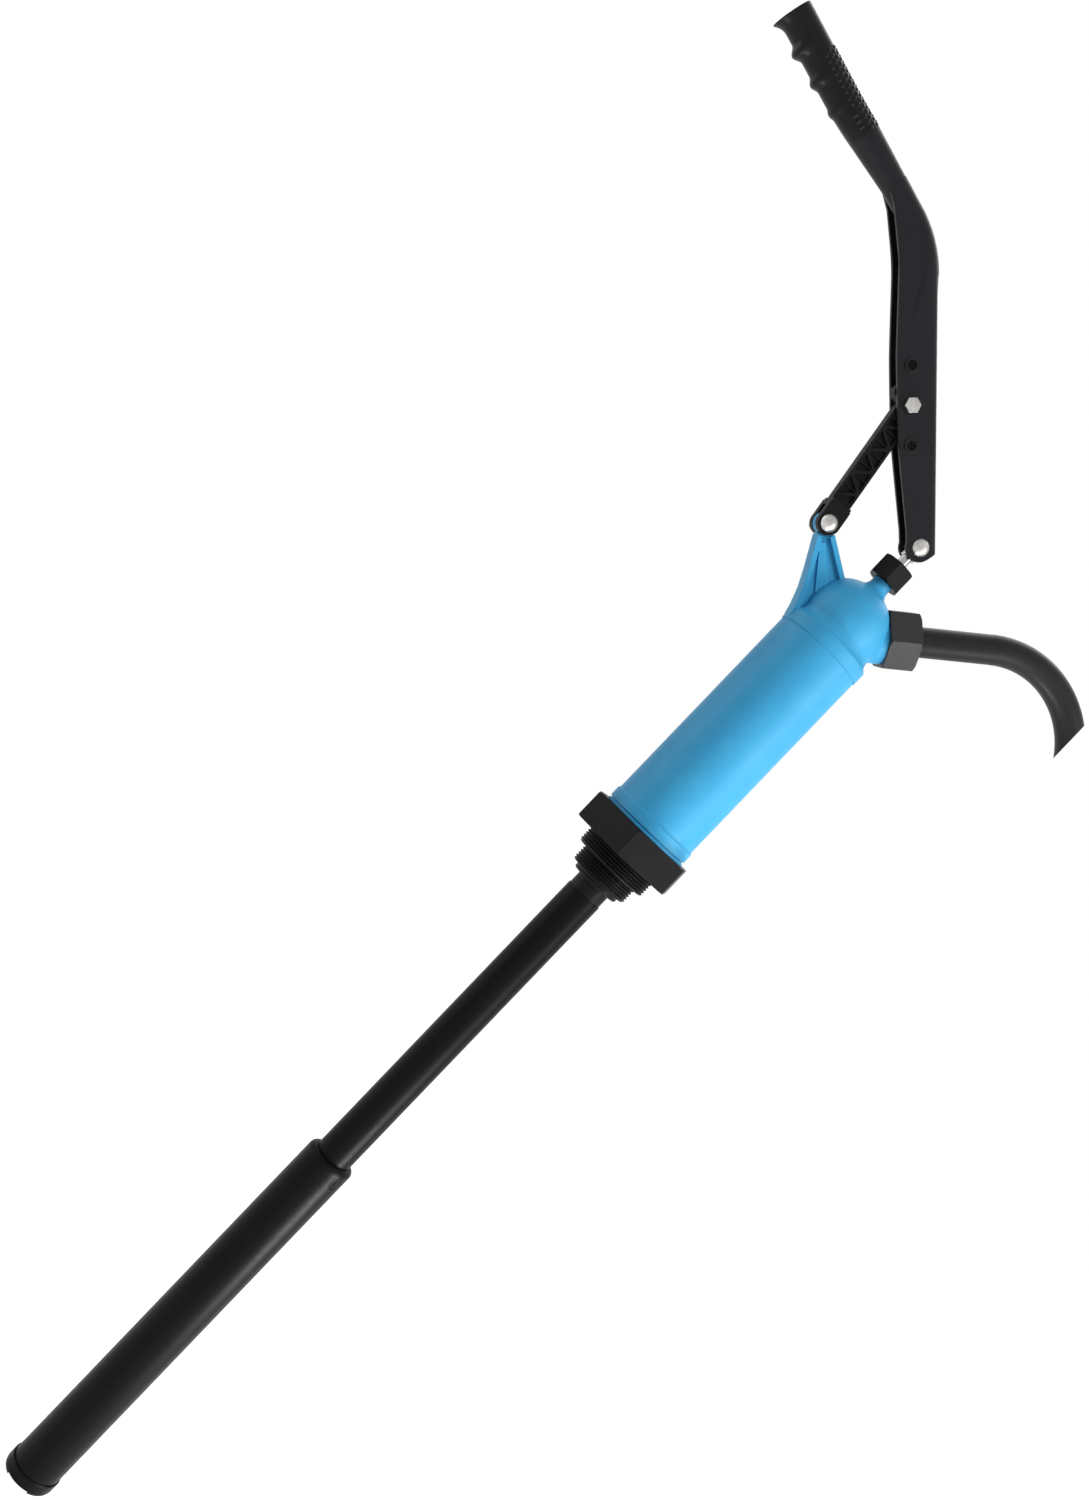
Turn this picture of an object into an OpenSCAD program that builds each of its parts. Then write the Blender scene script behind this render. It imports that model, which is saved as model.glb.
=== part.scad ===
// Lever action barrel pump: a piston pump that screws into a drum's bung.
// Origin on the pump's axis, at the seat of the bung hexagon; +Z up the barrel,
// +X towards the outlet, the lever and the link in the XZ plane.

/* [Bung adapter] */
// Size of the adapter's hexagon across its flats
hex_af = 80; // [74:0.5:92]
// Height of the hexagon
hex_h = 22.5; // [20:0.5:30]
// Turn of the hexagon about the pump's axis, in degrees
hex_turn = 10.2; // [0:0.2:60]
// Outer diameter of the large bung thread
large_thread_d = 59.6; // [58:0.1:62]
// Length of the large bung thread
large_thread_l = 12.4; // [11:0.2:18]
// Outer diameter of the small bung thread
small_thread_d = 47.8; // [46:0.1:50]
// Length of the small bung thread
small_thread_l = 12.3; // [11:0.2:18]
// Diameter of the neck that the suction tube hangs from
neck_d = 27.2; // [26:0.2:28]
// Length of that neck below the small thread, its lip included
neck_l = 14.1; // [10:0.1:20]

/* [Barrel] */
// Outer diameter of the barrel
barrel_d = 68.4; // [66:0.2:70]
// Wall of the barrel
barrel_wall = 3.2; // [2.6:0.1:4]
// Length of barrel that shows between hexagon and head
barrel_l = 176.5; // [160:0.5:220]
// Depth of the barrel's screwed end in the hexagon
spigot_l = 13.5; // [10:0.5:15]

/* [Head] */
// Radius of the round dome
dome_r = 32; // [30:0.2:33]
// Height of the dome's centre above the barrel's top
dome_rise = 26.5; // [24:0.5:30]
// Wall of the head
head_wall = 3.2; // [2.6:0.1:4]
// Radius of the gland neck on the dome
gland_neck_r = 7.5; // [7:0.1:8.2]
// Length of the gland neck above the dome's crown
gland_neck_l = 17.4; // [15:0.1:22]
// Size of the gland nut across its flats
gland_af = 24; // [22:0.1:28]
// Height of the gland nut
gland_h = 16.7; // [14:0.1:20]

/* [Outlet] */
// Height above the barrel's top at which the outlet's axis leaves the pump's axis
outlet_rise = 17; // [15:0.5:20]
// Slope of the outlet above the horizontal, in degrees
outlet_tilt = 38.4; // [32:0.2:44]
// Radius of the outlet's thread
outlet_r = 17.2; // [16:0.1:18]
// Distance along the outlet's axis from the pump's axis to the union nut
nut_start = 34.6; // [32:0.2:37]
// Size of the union nut across its flats
nut_af = 40.5; // [39:0.5:46]
// Length of the union nut
nut_l = 23.6; // [22:0.2:28]
// Outer diameter of the spout
spout_d = 22.2; // [20:0.2:24]
// Wall of the spout
spout_wall = 2.2; // [1.6:0.1:3]
// Distance along the outlet's axis to the start of the spout's bend
bend_start = 119.4; // [105:0.2:135]
// Radius of the spout's bend on its centre line
bend_r = 74.2; // [68:0.2:80]
// Distance of the spout's slanting mouth from the pump's axis
mouth_x = 188.4; // [182:0.2:194]
// Turn of the mouth's cut about the vertical, in degrees
mouth_turn = 26; // [0:1:30]

/* [Suction tube] */
// Outer diameter of the upper tube
upper_d = 28.5; // [27.5:0.1:30]
// Wall of the upper tube
upper_wall = 2.1; // [1.6:0.1:2.4]
// Length of upper tube that shows with the lower tube drawn out
exposed_l = 255; // [200:1:300]
// Outer diameter of the lower tube
lower_d = 37.8; // [37:0.1:40]
// Wall of the lower tube
lower_wall = 2.4; // [2:0.1:2.6]
// Length of the lower tube
lower_l = 306; // [300:1:340]
// Outer diameter of the foot strainer
foot_d = 39.8; // [39.6:0.2:44]
// Height of the foot strainer
foot_h = 10.4; // [10:0.2:20]

/* [Lever and link] */
// Place of the fulcrum pin along X
fulcrum_x = -60; // [-62:0.5:-58]
// Height of the fulcrum pin above the rod pin, negative as it lies below
fulcrum_drop = -36; // [-38:0.1:-34]
// Distance of the link pin along the lever from the rod pin
link_pin_u = 96.2; // [92:0.1:100]
// Distance of the link pin from the rod pin across the lever, towards its open side
link_pin_w = 7.8; // [7:0.1:8.4]
// Slope of the lever's straight part at rest, in degrees from +X
lever_lean = 136.5; // [135:0.1:138]
// Width of the lever over its two cheeks
lever_w = 16; // [15.8:0.1:16.4]
// Thickness of one cheek
cheek_t = 2.4; // [2:0.1:2.5]
// Diameter of the round handle that the cheeks run out into
handle_d = 18.9; // [18.3:0.1:19.8]
// Distance of the lever's outer edge from the rod pin
outer_edge = 12.1; // [11.6:0.1:13]
// How far the handle's round stands out past that edge
handle_out = 1.8; // [1.4:0.1:2.2]
// Length of the lever from the rod pin to the corner of its bend
bend_u = 204.9; // [195:0.1:215]
// Angle by which the handle bends from the straight part
handle_bend = 31.4; // [27:0.2:36]
// Length of the hand grip
grip_l = 88; // [84:1:100]
// Diameter of the handle where it enters the grip
shank_d = 22.1; // [21:0.1:22.4]
// Diameter of the rod and fulcrum pins
pin_d = 8; // [6:0.5:8]
// Diameter of the link bolt
link_bolt_d = 6; // [5:0.5:6]
// Thickness of the link's bar
link_t = 10.2; // [8:0.2:10.2]
// Width of the link's bar
link_w = 15.2; // [13:0.2:16]
// Thickness of the bracket's ear
ear_t = 7; // [6:0.2:8]
// Radius of the bracket's ear
ear_r = 7.9; // [7:0.1:8.2]

/* [Piston and valves] */
// Diameter of the piston rod
rod_d = 8; // [7:0.2:8.4]
// Height of the piston seal
seal_h = 10; // [8:0.5:14]
// Lift of the valve disc on the piston
piston_valve_lift = 4; // [3:0.5:6]
// Lift of the foot valve disc
foot_valve_lift = 5; // [3:0.5:5]

/* [Clearances] */
// Radial clearance of running fits
fit_run = 0.05; // [0.02:0.01:0.1]
// Clearance of pieces that are pushed or screwed together
fit_slip = 0.1; // [0.05:0.05:0.15]
// Gap between the sides of pieces that swing past each other
side_gap = 0.3; // [0.2:0.05:0.35]

/* [Hidden] */
$fn = 64;

blue = [0.24, 0.60, 0.82];
black = [0.10, 0.10, 0.11];
steel = [0.78, 0.77, 0.75];
rubber = [0.06, 0.06, 0.06];
cream = [0.85, 0.84, 0.78];

far = 400;          // longer than any cut needs
eps = 0.01;         // overlap of cutters past a face

// Heights down and up the pump's axis
barrel_r = barrel_d / 2;
bore_r = barrel_r - barrel_wall;
lip_r = barrel_r + 1.1;
thread_end = -large_thread_l - small_thread_l;
neck_end = thread_end - neck_l;
socket_r = barrel_r - 0.9;
seal_t = 1.5;
spigot_end = hex_h - spigot_l;
socket_floor = spigot_end - seal_t;
barrel_top = hex_h + barrel_l;
skirt_l = 7;
dome_z = barrel_top + dome_rise;
crown_z = dome_z + dome_r;
gland_neck_top = crown_z + gland_neck_l;
packing_h = 4;
gland_cap = 3.1;
gland_top = gland_neck_top + packing_h + gland_cap;
pin_stand = 18;     // rod pin above the gland nut with the rod down
rod_pin_z = gland_top + pin_stand;

// Foot valve in the cored adapter
valve_floor = thread_end + 4;
valve_bore_r = 9.8;
valve_seat_r = small_thread_d / 2 - 4.7;
seat_t = 3;
seat_lip = 0.8;
disc_t = 3;
stop_gap = 0.4;
cage_z = valve_floor + seat_t + seat_lip + fit_slip + disc_t + foot_valve_lift + stop_gap;
cage_r = large_thread_d / 2 - 3.4;
cage_t = 3;

// Suction tubes
nose_l = 17;
upper_r = upper_d / 2;
upper_bore_r = upper_r - upper_wall;
lower_r = lower_d / 2;
lower_bore_r = lower_r - lower_wall;
lower_top = neck_end - exposed_l;
mouth_l = 15;
stop_l = 12;
stop_top = lower_top - mouth_l - 1;
upper_end = stop_top - stop_l - 2;
lower_end = lower_top - lower_l;
foot_end = lower_end + 5 - foot_h;
ring_r = 0.7;       // section radius of the tubes' rubber ring
lock_z = lower_top - 10.5;
lock_turn = -56;

// Rod, piston and piston valve
rod_r = rod_d / 2;
piston_r = bore_r - 1.6;
rod_foot = spigot_end + 1;
piston_nut_h = 5.5;
piston_z = rod_foot + 0.5 + piston_nut_h;
flange_t = 5;
retainer_t = 3;
retainer_z = piston_z + flange_t + seal_h;
piston_top = retainer_z + retainer_t;
hub_r = bore_r - 8;
port_r = 3.6;
port_ring = 14;
ports = 6;
valve_disc_r = port_ring + port_r + 2;
stop_nut_z = piston_top + fit_slip + disc_t + piston_valve_lift + stop_gap;
eye_r = 8.2;
eye_t = 10;
eye_shank_r = 5.5;
pin_washer_r = 6;
rod_top = rod_pin_z - eye_r + 1.5;

// Lever in its own plane: u along the straight part from the rod pin, w towards the open side
grip_t = 3.2;       // web of the lever's channel
lobe_r = 10.2;
lobe_w = 1;         // the lobe's centre lies this far from the pin, towards the open side
handle_r = handle_d / 2;
bend_out_r = 80;    // outer edge's radius round the bend
bend_tan = bend_out_r * tan(handle_bend / 2);
bend_in_u = bend_u - bend_tan;
shank_l = 81.6;     // from the bend's corner to the grip
plain_l = 43;       // from the bend's corner to where the shank starts to swell
overrun = 2;        // run of one round piece into the next
edge_r = 5;         // rounding of the channel's outer edges
bend_axis_r = bend_out_r + handle_out - handle_r;
shank_r = shank_d / 2;
shank_lean = atan((shank_r - handle_r + 0.5) / (shank_l - plain_l));
grip_axis = shank_r - handle_out + 0.5;
step = 0.1;         // drop in radius where a straight piece ends inside a bend
hole_pitch = 26.7;
boss_r = 5;
boss_h = 1;
screw_r = 2.4;
screw_head_r = 3.4;
spacer_r = 4.2;
pin_r = pin_d / 2;
link_bolt_r = link_bolt_d / 2;

// Link: p from the fulcrum to the link pin, q to the left of it
fulcrum_z = rod_pin_z + fulcrum_drop;
link_pin_x = link_pin_u * cos(lever_lean) - link_pin_w * sin(lever_lean);
link_pin_z = rod_pin_z + link_pin_u * sin(lever_lean) + link_pin_w * cos(lever_lean);
link_dx = link_pin_x - fulcrum_x;
link_dz = link_pin_z - fulcrum_z;
link_l = sqrt(link_dx * link_dx + link_dz * link_dz);
link_lean = atan2(link_dz, link_dx);
slot_l = 10.8;      // travel that the lever's bolt needs in the link's head
slot_turn = 66.5;
slot_r = link_bolt_r + 0.4;
head_wall_r = 2.4;
fork_arm_t = 6.4;
fork_l = 16;
fork_r = ear_r + 0.4;
fork_gap = ear_t + 2 * side_gap;
fork_w = fork_gap + 2 * fork_arm_t;
pin_head_r = 6.3;
pin_head_h = 3.4;

// ---------------------------------------------------------------- helpers

module cyl_y(r, y0, y1) {
    translate([0, y0, 0]) rotate([-90, 0, 0]) cylinder(h = y1 - y0, r = r);
}

module tube(r_out, r_in, h) {
    difference() {
        cylinder(h = h, r = r_out);
        translate([0, 0, -eps]) cylinder(h = h + 2 * eps, r = r_in);
    }
}

// Flat outline in the XZ plane, made w thick about y = 0
module plate(w) {
    rotate([90, 0, 0]) linear_extrude(height = w, center = true) children();
}

// Hexagonal prism with its corners turned off at both ends
module hexagon(af, h, c) {
    r = af / 2 / cos(30);
    intersection() {
        cylinder(h = h, r = r, $fn = 6);
        rotate_extrude() polygon([[0, 0], [r - c, 0], [r, c * 0.7], [r, h - c * 0.7], [r - c, h], [0, h]]);
    }
}

module ring(section_r, middle_r) {
    rotate_extrude() translate([middle_r, 0]) circle(r = section_r, $fn = 32);
}

// Low domed head, its flat side at z = 0
module dome_head(r, h) {
    ball = (r * r + h * h) / 2 / h;
    intersection() {
        translate([0, 0, h - ball]) sphere(r = ball);
        cylinder(h = h, r = r);
    }
}

module lever_frame() {
    translate([0, 0, rod_pin_z]) rotate([0, -lever_lean, 0]) children();
}

module handle_frame() {
    lever_frame() translate([bend_u, 0, -outer_edge]) rotate([0, -handle_bend, 0]) children();
}

module link_frame() {
    translate([fulcrum_x, 0, fulcrum_z]) rotate([0, -link_lean, 0]) children();
}

module at_fulcrum() {
    translate([fulcrum_x, 0, fulcrum_z]) children();
}

module at_rod_pin() {
    translate([0, 0, rod_pin_z]) children();
}

module at_link_pin() {
    translate([link_pin_x, 0, link_pin_z]) children();
}

// +Z along the outlet's axis, x on the side that the spout bends towards
module outlet_frame() {
    translate([0, 0, barrel_top + outlet_rise]) rotate([0, 90 - outlet_tilt, 0]) children();
}

function arc(cx, cy, r, a0, a1, n = 10) =
    [for (i = [0:n]) [cx + r * cos(a0 + (a1 - a0) * i / n), cy + r * sin(a0 + (a1 - a0) * i / n)]];

// ---------------------------------------------------------------- bung adapter and foot valve

module bung_adapter() {
    r1 = large_thread_d / 2;
    r2 = small_thread_d / 2;
    c = 1.2;
    lip = 19;
    color(black) difference() {
        union() {
            rotate([0, 0, hex_turn]) hexagon(hex_af, hex_h, 1.6);
            rotate_extrude() polygon([
                [0, 1], [r1, 1], [r1, -large_thread_l + c], [r1 - c, -large_thread_l],
                [r2, -large_thread_l], [r2, thread_end + c], [r2 - c, thread_end],
                [lip, thread_end - 0.7], [lip, thread_end - 3], [lip - 0.8, thread_end - 3.8],
                [neck_d / 2, thread_end - 3.8], [neck_d / 2, neck_end], [upper_bore_r - fit_slip, neck_end],
                [upper_bore_r - fit_slip, neck_end - nose_l + c], [upper_bore_r - fit_slip - c, neck_end - nose_l],
                [0, neck_end - nose_l]
            ]);
        }
        translate([0, 0, neck_end - nose_l - 1]) cylinder(h = far, r = valve_bore_r - 0.3);
        translate([0, 0, valve_floor]) cylinder(h = far, r = valve_seat_r);
        translate([0, 0, cage_z]) cylinder(h = far, r = cage_r);
        translate([0, 0, socket_floor]) cylinder(h = far, r = socket_r);
    }
}

module barrel_seal() {
    color(rubber) translate([0, 0, socket_floor])
        tube(socket_r - fit_slip, bore_r, seal_t);
}

module foot_valve_seat() {
    r = valve_seat_r - fit_slip;
    lip = valve_bore_r + 2;
    color(cream) translate([0, 0, valve_floor]) difference() {
        union() {
            rotate_extrude() polygon([
                [valve_bore_r, 0], [r, 0], [r, seat_t], [lip, seat_t], [lip, seat_t + seat_lip],
                [valve_bore_r, seat_t + seat_lip]
            ]);
            cylinder(h = seat_t, r = 4.2);
            for (a = [0:120:240]) rotate([0, 0, a])
                translate([3, -1.2, 0.4]) cube([valve_bore_r - 2, 2.4, seat_t - 0.8]);
        }
        translate([0, 0, -1]) cylinder(h = seat_t + 3, r = 2 + fit_run);
    }
}

module foot_valve_disc() {
    z = valve_floor + seat_t + seat_lip + fit_slip;
    color(rubber) translate([0, 0, z]) {
        rotate_extrude() polygon([
            [0, 0], [valve_bore_r + 3.4, 0], [valve_bore_r + 3.8, 0.8], [valve_bore_r + 3.4, disc_t - 0.6],
            [6, disc_t], [0, disc_t]
        ]);
        translate([0, 0, -9]) cylinder(h = 9 + eps, r = 2);
    }
}

module foot_valve_cage() {
    color(cream) translate([0, 0, cage_z]) {
        tube(cage_r - fit_slip, valve_seat_r - 1.5, cage_t);
        cylinder(h = cage_t, r = 5);
        for (a = [30:120:270]) rotate([0, 0, a])
            translate([4, -1.6, 0]) cube([valve_seat_r - 4.5, 3.2, cage_t]);
    }
}

// ---------------------------------------------------------------- barrel and head

module barrel() {
    groove = 0.8;
    color(blue) rotate_extrude($fn = 96) polygon([
        [bore_r, spigot_end], [socket_r - fit_slip, spigot_end], [socket_r - fit_slip, hex_h],
        [lip_r - 0.3, hex_h], [lip_r, hex_h + 0.5], [lip_r, hex_h + 1.6], [barrel_r - 0.2, hex_h + 1.9],
        [barrel_r - 0.2, hex_h + 1.9 + groove], [lip_r, hex_h + 2.2 + groove], [lip_r, hex_h + 10.5],
        [barrel_r + 0.3, hex_h + 11.3], [barrel_r, hex_h + 12.5], [barrel_r, barrel_top],
        [barrel_r - 1.6, barrel_top], [barrel_r - 1.6, barrel_top + skirt_l],
        [bore_r, barrel_top + skirt_l]
    ]);
}

module head_seal() {
    color(rubber) translate([0, 0, barrel_top + skirt_l])
        tube(barrel_r - 1.6, bore_r, seal_t);
}

// Side view of the bracket's plate: a leaning triangle up to the ear
module bracket_side() {
    polygon([
        [fulcrum_x - 5, fulcrum_z - 0.5], [fulcrum_x - 0.3, fulcrum_z - 8.6], [fulcrum_x + 6.2, fulcrum_z - 19.9],
        [fulcrum_x + 12.7, fulcrum_z - 31.2], [fulcrum_x + 18.8, fulcrum_z - 43], [fulcrum_x + 23.4, fulcrum_z - 55.3],
        [-lip_r + 0.6, barrel_top + 2], [-20, barrel_top + 2], [-12, dome_z + 18],
        [-20, crown_z - 13.1], [fulcrum_x + 1.2, fulcrum_z + 2.8]
    ]);
}

// Band of the bracket's outline along its left and right edges, t wide
module bracket_edges(t) {
    side = 1.15 * t;
    difference() {
        bracket_side();
        polygon([
            [fulcrum_x + 1, fulcrum_z - 3], [fulcrum_x - 0.3 + side, fulcrum_z - 8.6],
            [fulcrum_x + 6.2 + side, fulcrum_z - 19.9], [fulcrum_x + 12.7 + side, fulcrum_z - 31.2],
            [fulcrum_x + 18.8 + side, fulcrum_z - 43], [fulcrum_x + 23.4 + side, fulcrum_z - 55.3],
            [-lip_r + 0.6 + side, barrel_top - 5], [-5, barrel_top - 5], [-5, crown_z - 21.8 - side],
            [-20, crown_z - 13.1 - side], [fulcrum_x + 1.2, fulcrum_z + 2.8 - side]
        ]);
    }
}

module head_bracket() {
    flange_w = 13;
    plate(5.4) bracket_side();
    // edge flanges, kept off the swinging fork
    difference() {
        plate(flange_w) bracket_edges(3.6);
        at_fulcrum() cyl_y(fork_r + 1.4, -flange_w, flange_w);
    }
    // small block and centre rib on both faces of the plate
    plate(flange_w - 2) polygon([
        [fulcrum_x + 4.4, fulcrum_z - 14.1], [fulcrum_x + 8.7, fulcrum_z - 10.2],
        [fulcrum_x + 12.8, fulcrum_z - 13.8], [fulcrum_x + 9.8, fulcrum_z - 17.6]
    ]);
    plate(9.4) polygon([
        [fulcrum_x + 9.5, fulcrum_z - 17], [fulcrum_x + 13, fulcrum_z - 13.9], [-27, dome_z + 9.3], [-28.5, dome_z - 4.5]
    ]);
    at_fulcrum() cyl_y(ear_r, -ear_t / 2, ear_t / 2);
}

module pump_head() {
    skirt_r = barrel_r - 1.6 + fit_slip;
    outer = lip_r - 0.4;
    neck_r = gland_neck_r;
    root_r = 7.5;
    color(blue) difference() {
        union() {
            // skirt and shoulder
            rotate_extrude($fn = 96) polygon([
                [0, barrel_top], [outer - 0.2, barrel_top], [outer, barrel_top + 0.4],
                [outer, barrel_top + 9.6], [outer - 0.8, barrel_top + 10.6],
                [outer - 2.6, barrel_top + 12.2], [outer - 3.6, barrel_top + 14.4],
                [dome_r - 1.2, barrel_top + 18.2], [0, barrel_top + 18.2]
            ]);
            difference() {
                union() {
                    translate([0, 0, dome_z]) sphere(r = dome_r, $fn = 96);
                    // gland neck with a round root
                    rotate_extrude() polygon(concat(
                        [[0, crown_z - 8], [neck_r + 8, crown_z - 6]],
                        arc(neck_r + root_r, crown_z + 4.4, root_r, 250, 180),
                        [[neck_r, gland_neck_top], [0, gland_neck_top]]
                    ));
                }
                // flat that clears the union nut
                outlet_frame() translate([0, 0, nut_start - side_gap])
                    cylinder(h = nut_l, r = nut_af / 2 / cos(30) + side_gap);
            }
            // outlet neck, its collar and its thread
            outlet_frame() {
                cylinder(h = nut_start, r = outlet_r + 1.1);
                cylinder(h = nut_start + 12.5, r = outlet_r);
            }
            head_bracket();
        }
        // room for the barrel's end and the seal
        translate([0, 0, barrel_top - 8]) cylinder(h = 8 + skirt_l + seal_t, r = skirt_r);
        // hollow dome
        difference() {
            translate([0, 0, dome_z]) sphere(r = dome_r - head_wall);
            translate([0, 0, -far + dome_z - 8]) cylinder(h = far, r = far);
        }
        translate([0, 0, barrel_top + skirt_l]) cylinder(
            h = dome_rise - skirt_l - 8 + eps, r1 = bore_r - 0.5,
            r2 = sqrt(pow(dome_r - head_wall, 2) - 64)
        );
        cylinder(h = far, r = rod_r + fit_run);
        outlet_frame() cylinder(h = far, r = outlet_r - 6);
        at_fulcrum() cyl_y(pin_r + fit_run, -20, 20);
    }
}

module gland_packing() {
    color(rubber) translate([0, 0, gland_neck_top])
        tube(gland_neck_r, rod_r + fit_run, packing_h);
}

module gland_nut() {
    color(black) difference() {
        translate([0, 0, gland_top - gland_h]) rotate([0, 0, hex_turn + 2]) hexagon(gland_af, gland_h, 1.4);
        cylinder(h = gland_top - gland_cap, r = gland_neck_r + fit_slip);
        cylinder(h = far, r = rod_r + 0.15);
    }
}

// ---------------------------------------------------------------- outlet and spout

module outlet_gasket() {
    color(rubber) outlet_frame() translate([0, 0, nut_start + 12.5])
        tube(outlet_r, outlet_r - 6, 2);
}

module outlet_nut() {
    color(black) outlet_frame() difference() {
        union() {
            translate([0, 0, nut_start]) rotate([0, 0, 30]) hexagon(nut_af, nut_l, 1.8);
            translate([0, 0, nut_start + nut_l - eps]) cylinder(h = 2.4, r1 = spout_d / 2 + 3.2, r2 = spout_d / 2 + 2.4);
        }
        translate([0, 0, nut_start - 1]) cylinder(h = 20.4, r = outlet_r + fit_slip);
        cylinder(h = far, r = spout_d / 2 + fit_slip);
    }
}

// Solid spout of radius r; its straight runs 1 mm into the bend, narrower by drop
module spout_body(r, drop) {
    sweep = 112;
    straight = bend_start - nut_start - 14.6;
    cylinder(h = straight + 1, r = r - drop);
    translate([bend_r, 0, straight]) rotate([90, 0, 0]) rotate([0, 0, 180 - sweep])
        rotate_extrude(angle = sweep) translate([bend_r, 0]) circle(r = r);
}

module spout_tube() {
    start = nut_start + 14.6;
    color(black) difference() {
        outlet_frame() translate([0, 0, start]) difference() {
            union() {
                spout_body(spout_d / 2, step);
                cylinder(h = 4.4, r = outlet_r);
            }
            spout_body(spout_d / 2 - spout_wall, -step);
            translate([0, 0, -1]) cylinder(h = 2, r = spout_d / 2 - spout_wall + step);
        }
        translate([mouth_x, 0, 0]) rotate([0, 0, -mouth_turn]) translate([0, -far / 2, 0]) cube([far, far, far]);
    }
}

// ---------------------------------------------------------------- suction tubes

module upper_tube() {
    color(black) translate([0, 0, upper_end]) tube(upper_r, upper_bore_r, neck_end - upper_end);
}

module tube_stop() {
    middle = lower_bore_r - fit_run - ring_r;
    color(black) translate([0, 0, stop_top - stop_l]) difference() {
        tube(lower_bore_r - 0.25, upper_r + fit_run, stop_l);
        translate([0, 0, stop_l / 2]) rotate_extrude()
            translate([middle - ring_r - fit_run, -ring_r - fit_run]) square([far, 2 * (ring_r + fit_run)]);
    }
}

module tube_oring() {
    color(rubber) translate([0, 0, stop_top - stop_l / 2])
        ring(ring_r, lower_bore_r - fit_run - ring_r);
}

module lower_tube() {
    mouth_r = upper_r + fit_run;
    round_r = lower_r - upper_r - 0.6;
    color(black) difference() {
        rotate_extrude($fn = 96) polygon(concat(
            [[mouth_r, lower_top]],
            arc(lower_r - round_r, lower_top - round_r, round_r, 90, 0, 6),
            [[lower_r, lower_end], [lower_bore_r, lower_end], [lower_bore_r, lower_top - mouth_l],
             [mouth_r, lower_top - mouth_l]]
        ));
        translate([0, 0, lock_z]) rotate([0, 90, lock_turn]) {
            cylinder(h = far, r = 2.5 + fit_slip);
            translate([0, 0, lower_r - 1.4]) cylinder(h = far, r = 4.2);
        }
    }
}

module lock_screw() {
    tip = upper_r + fit_run + 0.25;
    color(black) translate([0, 0, lock_z]) rotate([0, 90, lock_turn]) difference() {
        union() {
            translate([0, 0, tip]) cylinder(h = lower_r - 1 - tip, r = 2.5);
            translate([0, 0, lower_r - 1.4]) cylinder(h = 0.9, r = 4.2 - fit_slip);
        }
        translate([-3, -0.5, lower_r - 1]) cube([6, 1, 2]);
    }
}

module foot_strainer() {
    r = foot_d / 2;
    seat = 5;
    throat = lower_bore_r - 1.2;
    notches = 3;
    notch_w = 19;
    color(black) difference() {
        translate([0, 0, foot_end]) rotate_extrude() polygon([
            [throat, 0], [r - 2.2, 0], [r - 0.7, 1], [r, 3], [r, foot_h - 0.6], [r - 0.4, foot_h],
            [lower_r + fit_slip, foot_h], [lower_r + fit_slip, foot_h - seat], [throat, foot_h - seat]
        ]);
        // notches that let liquid in when the foot stands on the drum's floor
        for (i = [0:notches - 1]) rotate([0, 0, i * 360 / notches - 111])
            translate([0, -notch_w / 2, foot_end - 1]) cube([far, notch_w, 3.6]);
    }
}

// ---------------------------------------------------------------- rod, piston and piston valve

module piston_rod() {
    color(steel) translate([0, 0, rod_foot]) cylinder(h = rod_top - rod_foot, r = rod_r);
}

module rod_eye() {
    color(steel) difference() {
        union() {
            translate([0, 0, rod_pin_z - 10.2]) cylinder(h = 10.2 - pin_washer_r - side_gap, r = eye_shank_r);
            at_rod_pin() cyl_y(eye_r, -eye_t / 2, eye_t / 2);
        }
        cylinder(h = rod_top, r = rod_r + fit_slip / 2);
        at_rod_pin() cyl_y(pin_r + fit_run, -20, 20);
    }
}

module piston_ports(z, h) {
    for (i = [0:ports - 1]) rotate([0, 0, i * 360 / ports])
        translate([port_ring, 0, z]) cylinder(h = h, r = port_r);
}

module piston_body() {
    color(cream) difference() {
        union() {
            translate([0, 0, piston_z]) cylinder(h = flange_t, r = piston_r);
            translate([0, 0, piston_z]) cylinder(h = flange_t + seal_h, r = hub_r);
        }
        translate([0, 0, piston_z - 1]) cylinder(h = far, r = rod_r + fit_slip / 2);
        piston_ports(piston_z - 1, flange_t + seal_h + 2);
    }
}

module piston_seal() {
    z = piston_z + flange_t;
    r = bore_r - fit_run;
    color(rubber) rotate_extrude($fn = 96) polygon([
        [hub_r + fit_slip, z], [piston_r, z], [r - 0.8, z + 2], [r, z + 3.2], [r, z + seal_h - 0.8],
        [r - 1, z + seal_h - 0.2], [r - 3.4, z + seal_h - 4], [hub_r + 3, z + seal_h - 4],
        [hub_r + 2.4, z + seal_h], [hub_r + fit_slip, z + seal_h]
    ]);
}

module piston_retainer() {
    color(cream) difference() {
        translate([0, 0, retainer_z]) cylinder(h = retainer_t, r = piston_r - 2.4);
        translate([0, 0, retainer_z - 1]) cylinder(h = far, r = rod_r + fit_slip / 2);
        piston_ports(retainer_z - 1, retainer_t + 2);
    }
}

module piston_nut() {
    color(steel) translate([0, 0, piston_z - piston_nut_h]) difference() {
        hexagon(13, piston_nut_h, 0.6);
        translate([0, 0, -1]) cylinder(h = far, r = rod_r + fit_slip / 2);
    }
}

module piston_valve_disc() {
    color(rubber) translate([0, 0, piston_top + fit_slip]) tube(valve_disc_r, rod_r + fit_run, disc_t);
}

module valve_stop_nut() {
    color(steel) translate([0, 0, stop_nut_z]) difference() {
        hexagon(13, 5, 0.6);
        translate([0, 0, -1]) cylinder(h = far, r = rod_r + fit_slip / 2);
    }
}

// ---------------------------------------------------------------- lever

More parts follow.
